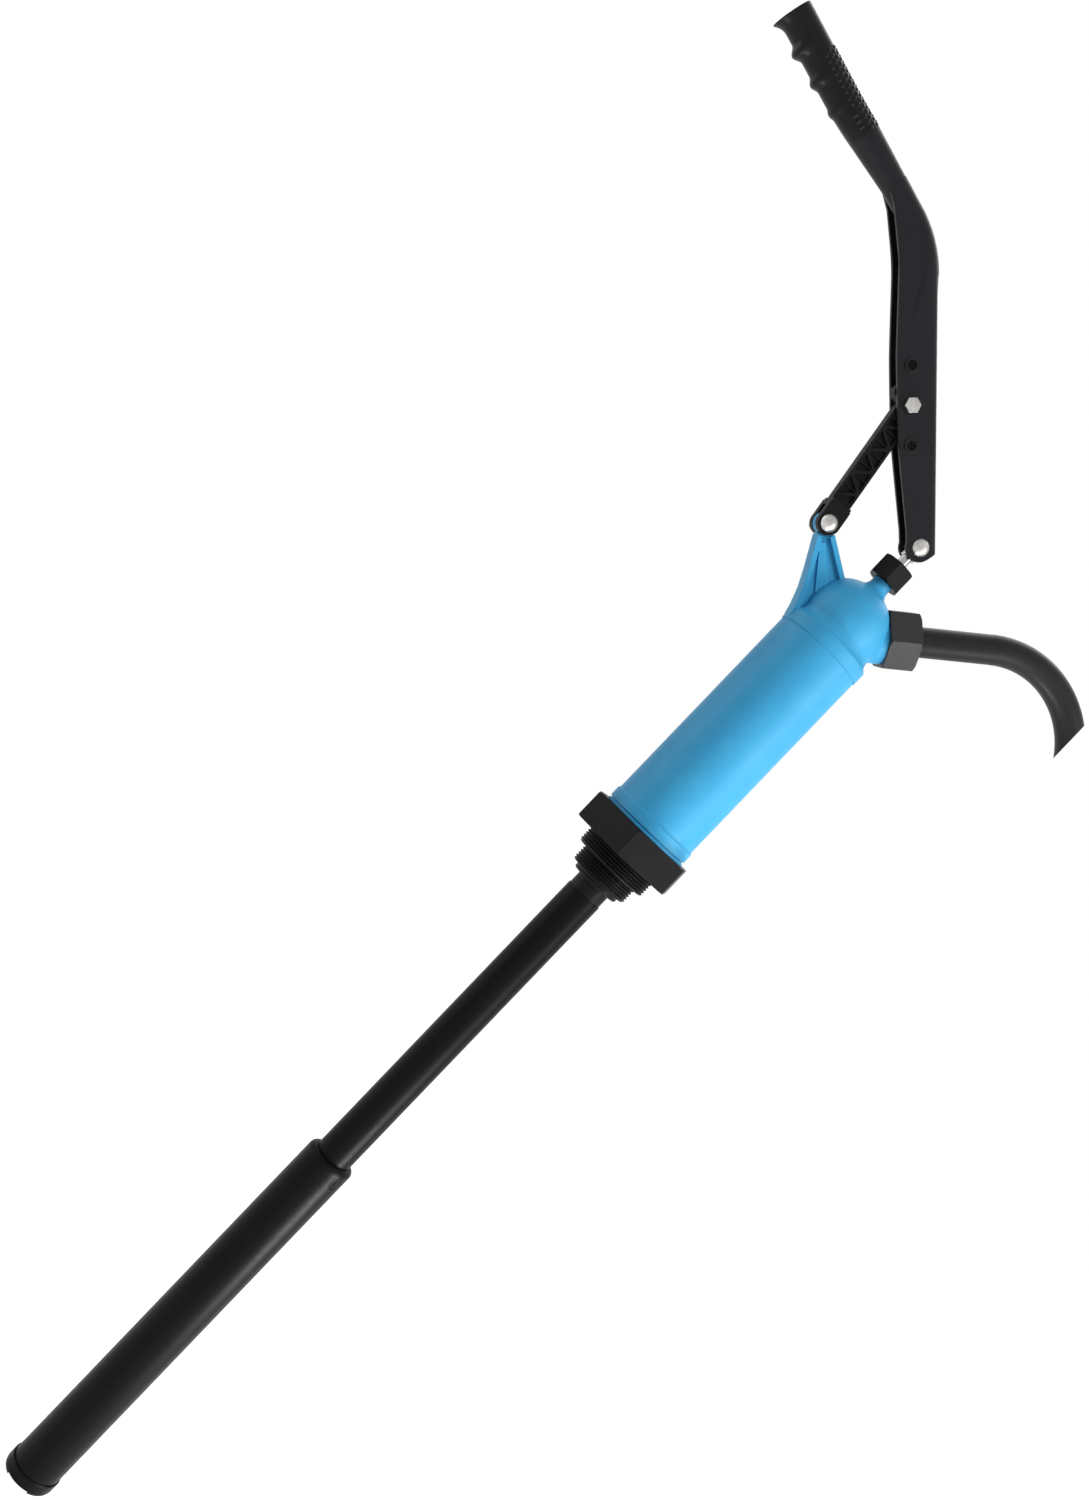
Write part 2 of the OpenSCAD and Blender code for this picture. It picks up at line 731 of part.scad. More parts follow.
// Side view of a cheek: u to the right, w up
module cheek_side() {
    lower = 2 * handle_r;
    edge_depth = 3.4;   // the cheeks' edge lies this deep in the handle's round
    c = [bend_in_u, bend_out_r - outer_edge];
    t_end = 60;
    h = handle_bend;
    function on_handle(t, n) = [bend_u + t * cos(h) - n * sin(h), -outer_edge + t * sin(h) + n * cos(h)];
    polygon(concat(
        [[1, lobe_w + lobe_r - 0.8], [-lobe_r + 1.2, -4], [-4.6, -outer_edge + 0.5], [-4.1, -outer_edge]],
        [[bend_in_u - 7, -outer_edge]],
        arc(c[0], c[1], bend_out_r - edge_depth, 270, 270 + h),
        [on_handle(t_end, handle_r), on_handle(43, lower - 4)],
        [[bend_u + 19.8, 20.4], [190, 16.6], [130, 18.4], [75, 17.4], [12, 10.7]]
    ));
    translate([0, lobe_w]) circle(r = lobe_r);
}

// Open side of the channel between the cheeks
module channel_side() {
    polygon([
        [-20, -outer_edge + grip_t], [bend_in_u - 24, -outer_edge + grip_t],
        [bend_in_u + 30, 4], [bend_in_u + 62, 34], [bend_in_u + 62, 60], [-20, 60]
    ]);
}

// Rounds one long outer edge of the channel
module edge_round(side) {
    r = edge_r;
    l = bend_in_u + 30;
    translate([-25, side * (lever_w / 2 - r), -outer_edge + r]) rotate([0, 90, 0])
        linear_extrude(height = l) difference() {
            translate([0, side > 0 ? 0 : -r - 1]) square([r + 1, r + 1]);
            circle(r = r);
        }
}

// Ridge that carries the handle's round down the lever and sinks into the cheeks
module ridge(run, rise, r_end) {
    lean = atan(rise / run);
    translate([bend_in_u + overrun, 0, handle_r - outer_edge - handle_out]) rotate([0, lean - 90, 0])
        cylinder(h = run / cos(lean), r1 = handle_r - step, r2 = r_end);
}

module lever_arm() {
    gap = lever_w - 2 * cheek_t;
    color(black) difference() {
        union() {
            lever_frame() {
                difference() {
                    union() {
                        difference() {
                            plate(lever_w) cheek_side();
                            edge_round(-1);
                            edge_round(1);
                        }
                        ridge(46, 0.4, 7.7);
                        ridge(42, 9.3, 7);
                    }
                    plate(gap) channel_side();
                }
                // the handle's round running through the bend
                translate([bend_in_u, 0, bend_out_r - outer_edge]) rotate([90, 0, 0]) rotate([0, 0, -90])
                    rotate_extrude(angle = handle_bend) translate([bend_axis_r, 0]) circle(r = handle_r);
                // raised rings round the cheek screws
                for (u = [link_pin_u - hole_pitch, link_pin_u + hole_pitch])
                    translate([u, 0, link_pin_w]) difference() {
                        cyl_y(boss_r, -lever_w / 2 - boss_h, lever_w / 2 + boss_h);
                        cyl_y(far, -gap / 2, gap / 2);
                    }
            }
            handle_frame() {
                translate([bend_tan - 2, 0, handle_r - handle_out]) rotate([0, 90, 0])
                    cylinder(h = plain_l - bend_tan + 5, r = handle_r - step);
                difference() {
                    translate([plain_l, 0, handle_r - handle_out]) rotate([0, 90 - shank_lean, 0])
                        cylinder(h = shank_l - plain_l + 1, r1 = handle_r - 0.4, r2 = shank_r);
                    translate([shank_l, -far / 2, -far / 2]) cube(far);
                }
                translate([shank_l - 2, 0, grip_axis]) rotate([0, 90, 0])
                    cylinder(h = grip_l - 4, r = core_r);
            }
        }
        at_rod_pin() cyl_y(pin_r + fit_run, -20, 20);
        at_link_pin() cyl_y(link_bolt_r + fit_run, -20, 20);
        lever_frame() for (u = [link_pin_u - hole_pitch, link_pin_u + hole_pitch])
            translate([u, 0, link_pin_w]) {
                cyl_y(screw_r + fit_slip, -20, 20);
                cyl_y(screw_head_r + fit_slip, -20, -lever_w / 2 + 1);
                cyl_y(screw_head_r + fit_slip, lever_w / 2 - 1, 20);
            }
    }
}

module pin_spacers() {
    gap = lever_w - 2 * cheek_t;
    color(cream) at_rod_pin() for (s = [-1, 1]) difference() {
        cyl_y(pin_washer_r, s > 0 ? eye_t / 2 + fit_slip : -gap / 2, s > 0 ? gap / 2 : -eye_t / 2 - fit_slip);
        cyl_y(pin_r + fit_run, -20, 20);
    }
}

module cheek_spacers() {
    gap = lever_w - 2 * cheek_t;
    color(black) lever_frame() for (u = [link_pin_u - hole_pitch, link_pin_u + hole_pitch])
        translate([u, 0, link_pin_w]) difference() {
            cyl_y(spacer_r, -gap / 2, gap / 2);
            cyl_y(screw_r + fit_slip, -20, 20);
        }
}

module cheek_screws() {
    y = lever_w / 2 - 1;
    color(black) lever_frame() for (u = [link_pin_u - hole_pitch, link_pin_u + hole_pitch])
        translate([u, 0, link_pin_w]) difference() {
            union() {
                cyl_y(screw_r, -y - 0.5, y + 0.5);
                cyl_y(screw_head_r, -y - 1.2, -y);
                cyl_y(screw_head_r, y, y + 1.2);
            }
            translate([-2.4, -y - 1.3, -0.5]) cube([4.8, 0.9, 1]);
            translate([-0.5, -y - 1.3, -2.4]) cube([1, 0.9, 4.8]);
        }
}

// Hand grip: rings of points along the handle, the underside waved for the fingers
grip_sides = 28;
grip_rings = 46;
grip_h = 22.6;
grip_w = 22.4;
core_r = 7;
grip_bore = core_r + 0.18;
finger_pitch = 21.3;
finger_first = 23;
finger_swell = [1.4, 2.7, 3.9];
end_round = 1.2;
function bump(x) = abs(x) < 1 ? (1 + cos(180 * x)) / 2 : 0;
function fingers(t) =
    finger_swell[0] * bump((t - finger_first) / 5) + finger_swell[1] * bump((t - finger_first - finger_pitch) / 6)
    + finger_swell[2] * bump((t - finger_first - 2 * finger_pitch) / 6.5);
function flare(t) = t > grip_l - 9 ? 5.4 * pow((t - grip_l + 9) / 9, 2.2) : 0;
// Rise and drop of the grip's front end, where it meets the shank
function front(t) = pow(max(0, 1 - t / 30), 2);
function grip_depth(t) = grip_h - 1.9 * front(t) + 0.6 * t / grip_l + fingers(t) + flare(t);
function grip_point(t, a) =
    let (
        d = grip_depth(t),
        low = max(0, -sin(a)),
        inset = end_round * pow(max(0, 1 - (grip_l - t) / end_round), 2)
    )
    [
        t,
        (grip_w / 2 + 0.35 * (fingers(t) + flare(t)) * low - inset) * cos(a),
        grip_h / 2 - sin(a) * ((sin(a) > 0 ? grip_h / 2 + 1.2 * front(t) : d - grip_h / 2) - inset)
    ];
// Rings stand even along the grip, with two more in the rounded end
function ring_t(i) = i < grip_rings - 2 ? (grip_l - end_round) * i / (grip_rings - 3)
    : grip_l - end_round * (grip_rings - i) * 0.25;
function grip_ring(t) = [for (k = [0:grip_sides - 1]) grip_point(t, 360 * k / grip_sides)];
function bore_ring(t) = [for (k = [0:grip_sides - 1])
    [t, grip_bore * cos(360 * k / grip_sides), grip_axis - grip_bore * sin(360 * k / grip_sides)]];

module hand_grip() {
    n = grip_sides;
    m = grip_rings;
    points = concat(
        [for (i = [0:m], p = grip_ring(ring_t(i))) p],
        bore_ring(grip_l - 5.6), bore_ring(0)
    );
    rings = m + 3;
    faces = concat(
        [for (i = [0:m - 1], k = [0:n - 1]) [i * n + k, i * n + (k + 1) % n, (i + 1) * n + (k + 1) % n]],
        [for (i = [0:m - 1], k = [0:n - 1]) [i * n + k, (i + 1) * n + (k + 1) % n, (i + 1) * n + k]],
        [[for (k = [0:n - 1]) m * n + k]],
        [[for (k = [0:n - 1]) (rings - 2) * n + n - 1 - k]],
        [for (k = [0:n - 1]) [(rings - 2) * n + k, (rings - 2) * n + (k + 1) % n, (rings - 1) * n + (k + 1) % n]],
        [for (k = [0:n - 1]) [(rings - 2) * n + k, (rings - 1) * n + (k + 1) % n, (rings - 1) * n + k]],
        [for (k = [0:n - 1]) [(rings - 1) * n + k, (rings - 1) * n + (k + 1) % n, (k + 1) % n]],
        [for (k = [0:n - 1]) [(rings - 1) * n + k, (k + 1) % n, k]]
    );
    color(black) handle_frame() translate([shank_l, 0, 0]) polyhedron(points = points, faces = faces, convexity = 6);
}

// ---------------------------------------------------------------- link

module link_side() {
    translate([0, -link_w / 2]) square([link_l, link_w]);
    translate([link_l, 0]) {
        circle(r = slot_r + head_wall_r);
        rotate(slot_turn) {
            translate([slot_l, 0]) circle(r = slot_r + head_wall_r);
            translate([0, -slot_r - head_wall_r]) square([slot_l, 2 * (slot_r + head_wall_r)]);
        }
    }
}

module link_arm() {
    depth = 2.2;
    rim = 2;
    from = fork_l + 3;
    to = link_l - 14;
    bays = 7;
    pitch = (to - from) / bays;
    color(black) link_frame() difference() {
        union() {
            plate(link_t) link_side();
            plate(fork_w) {
                circle(r = fork_r);
                translate([0, -fork_r]) square([fork_l - 2, 2 * fork_r]);
                translate([fork_l - 2 - eps, -link_w / 2]) square([2, link_w]);
            }
        }
        // gap of the fork
        translate([-20, -fork_gap / 2, -20]) cube([20 + ear_r + 2.6, fork_gap, 40]);
        cyl_y(pin_r + fit_run, -20, 20);
        // slot in the head
        translate([link_l, 0, 0]) rotate([0, -slot_turn, 0]) {
            cyl_y(slot_r, -20, 20);
            translate([slot_l, 0, 0]) cyl_y(slot_r, -20, 20);
            translate([0, -20, -slot_r]) cube([slot_l, 40, 2 * slot_r]);
        }
        // recessed faces with zigzag ribs left standing
        for (s = [-1, 1]) translate([0, s * (link_t / 2 - depth / 2 + 1), 0])
            plate(depth + 2) for (i = [0:bays - 1]) {
                flip = i % 2 == 0 ? 1 : -1;
                half = link_w / 2 - rim;
                translate([from + i * pitch, 0]) {
                    polygon([[0.9, flip * (half - 1.4)], [0.9, -flip * half], [pitch - 1.9, -flip * half]]);
                    polygon([[pitch + 0.1, -flip * (half - 1.4)], [pitch + 0.1, flip * half], [2.9, flip * half]]);
                }
            }
    }
}

// ---------------------------------------------------------------- pins and bolts

// Domed pin through y = -w/2 .. w/2, its thread standing out at the back
module domed_pin(r, w, tail) {
    cyl_y(r, -w / 2 - fit_slip - eps, w / 2 + tail);
    translate([0, -w / 2 - fit_slip, 0]) rotate([90, 0, 0]) dome_head(pin_head_r, pin_head_h);
}

module lock_nut(af, h, hole, y) {
    translate([0, y, 0]) rotate([-90, 0, 0]) difference() {
        union() {
            hexagon(af, h * 0.75, 0.7);
            cylinder(h = h, r = af / 2 - 0.9);
        }
        translate([0, 0, -1]) cylinder(h = far, r = hole);
    }
}

module fulcrum_bolt() {
    color(steel) at_fulcrum() domed_pin(pin_r, fork_w, 7.5);
}

module fulcrum_nut() {
    color(steel) at_fulcrum() lock_nut(pin_d + 5, 7, pin_r + fit_slip / 2, fork_w / 2 + fit_slip);
}

module rod_bolt() {
    color(steel) at_rod_pin() domed_pin(pin_r, lever_w, 7.5);
}

module rod_bolt_nut() {
    color(steel) at_rod_pin() lock_nut(pin_d + 5, 7, pin_r + fit_slip / 2, lever_w / 2 + fit_slip);
}

module link_bolt() {
    color(steel) at_link_pin() {
        cyl_y(link_bolt_r, -lever_w / 2 - fit_slip - eps, lever_w / 2 + 6);
        translate([0, -lever_w / 2 - fit_slip, 0]) rotate([90, 12, 0]) hexagon(10, 4, 0.6);
    }
}

module link_bolt_nut() {
    color(steel) at_link_pin() lock_nut(10, 5.5, link_bolt_r + fit_slip / 2, lever_w / 2 + fit_slip);
}

// ---------------------------------------------------------------- nodes

barrel();
pump_head();
gland_nut();
gland_packing();
bung_adapter();
barrel_seal();
head_seal();
foot_valve_seat();
foot_valve_cage();
foot_valve_disc();
upper_tube();
tube_stop();
tube_oring();
outlet_nut();
outlet_gasket();
spout_tube();
fulcrum_bolt();
fulcrum_nut();
piston_rod();
rod_eye();
piston_body();
piston_seal();
piston_retainer();
piston_nut();
valve_stop_nut();
piston_valve_disc();
lever_arm();
hand_grip();
rod_bolt();
rod_bolt_nut();
link_bolt();
link_bolt_nut();
pin_spacers();
cheek_spacers();
cheek_screws();
link_arm();
lower_tube();
lock_screw();
foot_strainer();
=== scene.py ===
import math

import bpy
from mathutils import Matrix, Vector

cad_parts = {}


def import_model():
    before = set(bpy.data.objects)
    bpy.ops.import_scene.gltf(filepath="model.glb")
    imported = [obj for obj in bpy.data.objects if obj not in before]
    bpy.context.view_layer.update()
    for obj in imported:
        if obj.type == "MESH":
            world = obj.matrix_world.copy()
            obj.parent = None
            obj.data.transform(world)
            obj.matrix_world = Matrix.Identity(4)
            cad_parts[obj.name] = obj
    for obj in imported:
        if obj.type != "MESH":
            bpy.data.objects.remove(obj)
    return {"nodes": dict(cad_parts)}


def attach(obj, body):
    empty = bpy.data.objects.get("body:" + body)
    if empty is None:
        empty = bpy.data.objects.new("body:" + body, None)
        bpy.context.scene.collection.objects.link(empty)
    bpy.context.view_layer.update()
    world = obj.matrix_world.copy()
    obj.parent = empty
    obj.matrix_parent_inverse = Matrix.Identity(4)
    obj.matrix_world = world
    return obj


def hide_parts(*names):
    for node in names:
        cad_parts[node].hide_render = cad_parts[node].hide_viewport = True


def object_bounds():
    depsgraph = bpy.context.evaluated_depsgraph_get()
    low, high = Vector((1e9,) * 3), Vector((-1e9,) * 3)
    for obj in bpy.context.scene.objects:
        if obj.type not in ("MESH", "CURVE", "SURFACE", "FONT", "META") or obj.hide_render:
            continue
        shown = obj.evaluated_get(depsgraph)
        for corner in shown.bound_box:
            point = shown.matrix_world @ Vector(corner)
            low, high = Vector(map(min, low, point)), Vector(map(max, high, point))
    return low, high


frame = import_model()
cad_lo, cad_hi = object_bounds()
nodes = frame["nodes"]
MM = 0.001


def clamp(x):
    return max(0.0, min(1.0, x))


# ------------------------------------------------------------------ shader node tools

MIX_A, MIX_B, MIX_RESULT = 6, 7, 2   # the colour sockets of ShaderNodeMix
NOISE_LO, NOISE_HI = 0.3, 0.7        # where most of a noise node's values lie


def new_material(name):
    m = bpy.data.materials.new(name)
    m.use_nodes = True
    t = m.node_tree
    t.nodes.clear()
    return m, t


def add(t, kind, **values):
    """A new node, with its own settings."""
    n = t.nodes.new(kind)
    for k, v in values.items():
        setattr(n, k, v)
    return n


def put(n, **values):
    """Set a node's inputs by their names, with _ for each space."""
    for k, v in values.items():
        n.inputs[k.replace("_", " ")].default_value = v


def link(t, a, b):
    t.links.new(a, b)


def srgb(r, g, b):
    def lin(c):
        c = c / 255
        return c / 12.92 if c <= 0.04045 else ((c + 0.055) / 1.055) ** 2.4
    return (lin(r), lin(g), lin(b), 1.0)


def noise(t, vector, scale, detail, rough):
    n = add(t, "ShaderNodeTexNoise")
    put(n, Scale=scale, Detail=detail, Roughness=rough)
    link(t, vector, n.inputs["Vector"])
    return n.outputs["Fac"]


def stretched(t, vector, scale):
    n = add(t, "ShaderNodeMapping")
    put(n, Scale=scale)
    link(t, vector, n.inputs["Vector"])
    return n.outputs["Vector"]


def ramp(t, fac, lo, hi):
    """Noise spread over the range from lo to hi."""
    n = add(t, "ShaderNodeMapRange")
    put(n, From_Min=NOISE_LO, From_Max=NOISE_HI, To_Min=lo, To_Max=hi)
    link(t, fac, n.inputs["Value"])
    return n.outputs["Result"]


def mix_colour(t, fac, a, b):
    n = add(t, "ShaderNodeMix", data_type="RGBA")
    link(t, fac, n.inputs["Factor"])
    n.inputs[MIX_A].default_value = a
    n.inputs[MIX_B].default_value = b
    return n.outputs[MIX_RESULT]


def mix_shader(t, fac, a, b, out):
    n = add(t, "ShaderNodeMixShader")
    link(t, fac, n.inputs[0])
    link(t, a.outputs[0], n.inputs[1])
    link(t, b.outputs[0], n.inputs[2])
    link(t, n.outputs[0], out.inputs[0])


# ------------------------------------------------------------------ surfaces

FINER = 9   # how much finer the patches of roughness are than those of colour


def surface(name, colour, dark, rough, bumps, round_mm, spec, metal=0.0, patch=45.0, **extra):
    """Principled surface with patches between two colours and two roughnesses.

    bumps holds one (stretch in x, y and z; size in mm; depth in mm) for each layer of grain,
    and round_mm is the radius of the soft edges.
    """
    m, t = new_material(name)
    out = add(t, "ShaderNodeOutputMaterial")
    p = add(t, "ShaderNodeBsdfPrincipled")
    link(t, p.outputs[0], out.inputs[0])
    where = add(t, "ShaderNodeTexCoord").outputs["Object"]
    cloud = noise(t, where, patch, detail=4.0, rough=0.6)
    link(t, mix_colour(t, ramp(t, cloud, 0.0, 1.0), dark, colour), p.inputs["Base Color"])
    fine = noise(t, where, patch * FINER, detail=3.0, rough=0.6)
    link(t, ramp(t, fine, rough[0], rough[1]), p.inputs["Roughness"])
    put(p, Specular_IOR_Level=spec, Metallic=metal, **extra)
    normal = None
    if round_mm:
        b = add(t, "ShaderNodeBevel", samples=4)
        put(b, Radius=round_mm * MM)
        normal = b.outputs[0]
    for stretch, size, depth in bumps:
        h = noise(t, stretched(t, where, stretch), 1000.0 / size, detail=2.0, rough=0.55)
        b = add(t, "ShaderNodeBump")
        put(b, Strength=1.0, Distance=depth * MM)
        link(t, h, b.inputs["Height"])
        if normal is not None:
            link(t, normal, b.inputs["Normal"])
        normal = b.outputs[0]
    link(t, normal, p.inputs["Normal"])
    return m


EVEN = (1, 1, 1)
ALONG_Z = (1, 1, 0.02)   # drawn out along z
TURNED = (1, 1, 14)      # fine rings round z

blue = surface("blue_polypropylene", srgb(64, 160, 206), srgb(56, 152, 200), (0.44, 0.52),
               [(EVEN, 1.1, 0.008), (EVEN, 9.0, 0.03)], round_mm=0.5, spec=0.26, patch=30.0,
               Subsurface_Weight=0.12, Subsurface_Scale=0.002)
black_fitting = surface("black_fitting", srgb(20, 19, 21), srgb(15, 14, 16), (0.36, 0.48),
                        [(EVEN, 0.5, 0.012), (EVEN, 5.0, 0.02)], round_mm=0.5, spec=0.095)
# the union nut's black is lighter than the other fittings: painted sheen for the light its facets
# catch, while its higher gloss is real
black_union_painted_sheen = surface("black_union_painted_sheen", srgb(40, 39, 41), srgb(33, 32, 34), (0.30, 0.42),
                      [(EVEN, 0.5, 0.012), (EVEN, 5.0, 0.02)], round_mm=0.5, spec=0.3)
black_nylon = surface("black_nylon", srgb(18, 17, 22), srgb(13, 12, 16), (0.36, 0.50),
                      [(EVEN, 0.45, 0.010), (EVEN, 8.0, 0.03)], round_mm=0.45, spec=0.2)
black_lattice = surface("black_link", srgb(17, 16, 17), srgb(13, 12, 13), (0.48, 0.62),
                        [(EVEN, 0.45, 0.012), (EVEN, 3.0, 0.03)], round_mm=0.4, spec=0.1)
black_grip = surface("black_grip", srgb(15, 14, 17), srgb(11, 10, 13), (0.30, 0.42),
                     [(EVEN, 0.4, 0.012), (EVEN, 6.0, 0.03)], round_mm=0.0, spec=0.15)
black_tube = surface("black_tube", srgb(11, 10, 11), srgb(8, 8, 8), (0.34, 0.44),
                     [(ALONG_Z, 1.6, 0.010), (EVEN, 0.8, 0.006)], round_mm=0.35, spec=0.07)
black_spout = surface("black_spout", srgb(30, 30, 32), srgb(25, 25, 27), (0.34, 0.46),
                      [(EVEN, 14.0, 0.05), (EVEN, 0.8, 0.006)], round_mm=0.35, spec=0.16)
black_screw = surface("black_screw", srgb(9, 9, 9), srgb(6, 6, 6), (0.5, 0.6),
                      [(EVEN, 0.5, 0.01)], round_mm=0.15, spec=0.1)
rubber = surface("rubber", srgb(30, 30, 31), srgb(22, 22, 23), (0.6, 0.75),
                 [(EVEN, 0.6, 0.015)], round_mm=0.2, spec=0.35)
cream = surface("cream_plastic", srgb(222, 218, 204), srgb(210, 206, 190), (0.4, 0.5),
                [(EVEN, 0.8, 0.01)], round_mm=0.2, spec=0.5)
rod_steel = surface("rod_steel", srgb(172, 171, 169), srgb(156, 155, 154), (0.16, 0.26),
                    [(TURNED, 6.0, 0.004)], round_mm=0.15, spec=0.5, metal=1.0)
zinc = surface("zinc_plate", srgb(196, 194, 191), srgb(158, 156, 153), (0.30, 0.46),
               [(EVEN, 0.9, 0.012), (EVEN, 4.0, 0.02)], round_mm=0.3, spec=0.5, metal=1.0, patch=160.0)

coat = {
    "barrel": blue, "pump_head": blue,
    "gland_nut": black_fitting, "bung_adapter": black_fitting, "outlet_nut": black_union_painted_sheen,
    "lever_arm": black_nylon, "cheek_spacers": black_nylon, "link_arm": black_lattice,
    "hand_grip": black_grip, "cheek_screws": black_screw, "lock_screw": black_screw,
    "upper_tube": black_tube, "lower_tube": black_tube, "tube_stop": black_tube,
    "foot_strainer": black_tube, "spout_tube": black_spout,
    "gland_packing": rubber, "barrel_seal": rubber, "head_seal": rubber, "tube_oring": rubber,
    "outlet_gasket": rubber, "piston_seal": rubber, "piston_valve_disc": rubber,
    "foot_valve_disc": rubber,
    "foot_valve_seat": cream, "foot_valve_cage": cream, "piston_body": cream,
    "piston_retainer": cream, "pin_spacers": cream,
    "piston_rod": rod_steel, "rod_eye": rod_steel, "piston_nut": rod_steel,
    "valve_stop_nut": rod_steel,
    "fulcrum_bolt": zinc, "fulcrum_nut": zinc, "rod_bolt": zinc, "rod_bolt_nut": zinc,
    "link_bolt": zinc, "link_bolt_nut": zinc,
}
for name, o in nodes.items():
    m = coat[name]
    if not o.material_slots:
        o.data.materials.append(m)
    for s in o.material_slots:
        s.material = m


# ------------------------------------------------------------------ mesh tools

def show(o):
    bpy.context.scene.collection.objects.link(o)


def mesh_object(name, verts, faces, material, sharp):
    """A smooth object from points in mm, with its edges over sharp degrees kept crisp."""
    me = bpy.data.meshes.new(name)
    me.from_pydata([Vector(v) * MM for v in verts], [], faces)
    me.validate()
    for p in me.polygons:
        p.use_smooth = True
    o = bpy.data.objects.new(name, me)
    show(o)
    me.materials.append(material)
    me.set_sharp_from_angle(angle=math.radians(sharp))
    return o


def rings(rows, loop=False, flip=False, base=0):
    """Points and faces of a stack of closed rings, each a list of points.

    The last ring joins the first if loop is set, flip turns the faces over, and the points
    are numbered from base.
    """
    n = len(rows[0])
    verts = [p for row in rows for p in row]
    faces = []
    for i in range(len(rows) if loop else len(rows) - 1):
        j = (i + 1) % len(rows)
        for k in range(n):
            l = (k + 1) % n
            q = (base + i * n + k, base + i * n + l, base + j * n + l, base + j * n + k)
            faces.append(q[::-1] if flip else q)
    return verts, faces


# ------------------------------------------------------------------ bung adapter with its threads cut

ADAPTER_POINTS = 240       # in each ring
HEX_ACROSS = 80.0
HEX_TURN = 10.2            # degrees from the x axis to a corner
HEX_TOP = 22.5
HEX_EDGE = (1.6, 1.15)     # how far the bevel cuts the corners back, and its height
HEX_EDGE_STEPS = 7

# (z, radius) from the socket's mouth down its inside and the bore, then up the neck
ADAPTER_PROFILE = (
    (HEX_TOP, 33.3), (7.5, 33.3), (7.5, 26.4), (-8.4, 26.4), (-8.4, 19.2), (-20.7, 19.2),
    (-20.7, 9.5), (-55.8, 9.5), (-55.8, 10.85), (-54.6, 12.05), (-38.8, 12.05), (-38.8, 13.6),
    (-28.5, 13.6), (-28.5, 18.2), (-27.7, 19.0), (-25.4, 19.0),
)

# (outer radius, z of the free end, z of the shoulder) of the small and the large thread
THREADS = ((23.9, -24.7, -12.4), (29.8, -12.4, 0.0))
THREAD_PITCH = 2.309
THREAD_DEPTH = 1.15
THREAD_FLAT = 0.12         # share of half a pitch that is flat at the root
THREAD_FLANK = 0.74        # share of half a pitch that slopes
THREAD_RELIEF = 0.6        # plain undercut below the shoulder
RELIEF_DEPTH = 0.9         # of the thread's depth
RELIEF_FADE = 0.5          # over which the thread runs out into the undercut
THREAD_LEAD_IN = 1.2       # how far the free end is bevelled
THREAD_STEP = 0.16         # between rings


def bung_adapter():
    corner = HEX_ACROSS / 2 / math.cos(math.radians(30))
    cut, high = HEX_EDGE
    rows = []

    def ring(z, radius):
        out = []
        for k in range(ADAPTER_POINTS):
            a = HEX_TURN + 360.0 * k / ADAPTER_POINTS
            r = radius(a, z)
            out.append((r * math.cos(math.radians(a)), r * math.sin(math.radians(a)), z))
        rows.append(out)

    def plain(r):
        return lambda a, z: r

    def hexagon(limit):
        def radius(a, z):
            d = (a - HEX_TURN) % 60 - 30
            return min(HEX_ACROSS / 2 / math.cos(math.radians(d)), limit)
        return radius

    def thread(major, z0, z1):
        def radius(a, z):
            phase = (z / THREAD_PITCH + a / 360.0) % 1.0
            s = clamp((abs(2 * phase - 1) - THREAD_FLAT) / THREAD_FLANK)
            fade = clamp((z1 - THREAD_RELIEF - z) / RELIEF_FADE)
            deep = THREAD_DEPTH * (1 - s) * fade + (THREAD_DEPTH * RELIEF_DEPTH) * (1 - fade)
            return min(major - deep, major - THREAD_LEAD_IN + (z - z0))
        return radius

    for i in range(HEX_EDGE_STEPS + 1):
        ring(high * i / HEX_EDGE_STEPS, hexagon(corner - cut + cut * i / HEX_EDGE_STEPS))
    for i in range(HEX_EDGE_STEPS + 1):
        ring(HEX_TOP - high + high * i / HEX_EDGE_STEPS,
             hexagon(corner - cut * i / HEX_EDGE_STEPS))
    for z, r in ADAPTER_PROFILE:
        ring(z, plain(r))
    for major, z0, z1 in THREADS:
        count = int((z1 - z0) / THREAD_STEP)
        for i in range(count + 1):
            ring(z0 + (z1 - z0) * i / count, thread(major, z0, z1))
    v, f = rings(rows, loop=True)
    o = mesh_object("bung_adapter_threaded", v, f, black_fitting, sharp=28.0)
    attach(o, "pump")
    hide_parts("bung_adapter")


bung_adapter()


# ------------------------------------------------------------------ lever frames, as in the part

ROD_PIN = (0.0, 300.0)   # x and z of the pin through the rod's eye
LEAN = 136.5             # direction of the lever's straight part, from the x axis
BEND_U = 204.9           # where the lever bends, along u
OUTER = 12.1             # from the pin's line to the lever's outer edge
BEND = 31.4
SHANK = 81.6             # from the bend to the grip
LEVER_W = 16.0


def turned(a, x, z):
    c, s = math.cos(math.radians(a)), math.sin(math.radians(a))
    return x * c - z * s, x * s + z * c


def on_lever(u, y, w):
    """A point u along the lever's straight part from the rod's pin and w across it."""
    x, z = turned(LEAN, u, w)
    return ROD_PIN[0] + x, y, ROD_PIN[1] + z


def on_handle(t, y, n):
    """A point t along the handle from the bend and n across it."""
    x0, _, z0 = on_lever(BEND_U, 0, -OUTER)
    x, z = turned(LEAN + BEND, t, n)
    return x0 + x, y, z0 + z


# ------------------------------------------------------------------ hand grip with its studs and swells

GRIP_L = 88.0
GRIP_H = 22.6
GRIP_W = 22.4
GRIP_TAPER = 0.6                                # growth in depth over the grip's length
FRONT_L, FRONT_LOW, FRONT_TOP = 30, 1.9, 1.2    # the front's length, its cut below and its rise
FLARE_L, FLARE_H, FLARE_CURVE = 9, 5.4, 2.2     # the flare at the far end
FINGERS = ((1.4, 23.0, 5), (2.7, 44.3, 6), (3.9, 65.6, 6.5))   # height, middle, half length
SIDE_SWELL = 0.35                               # share of the fingers and flare at the sides

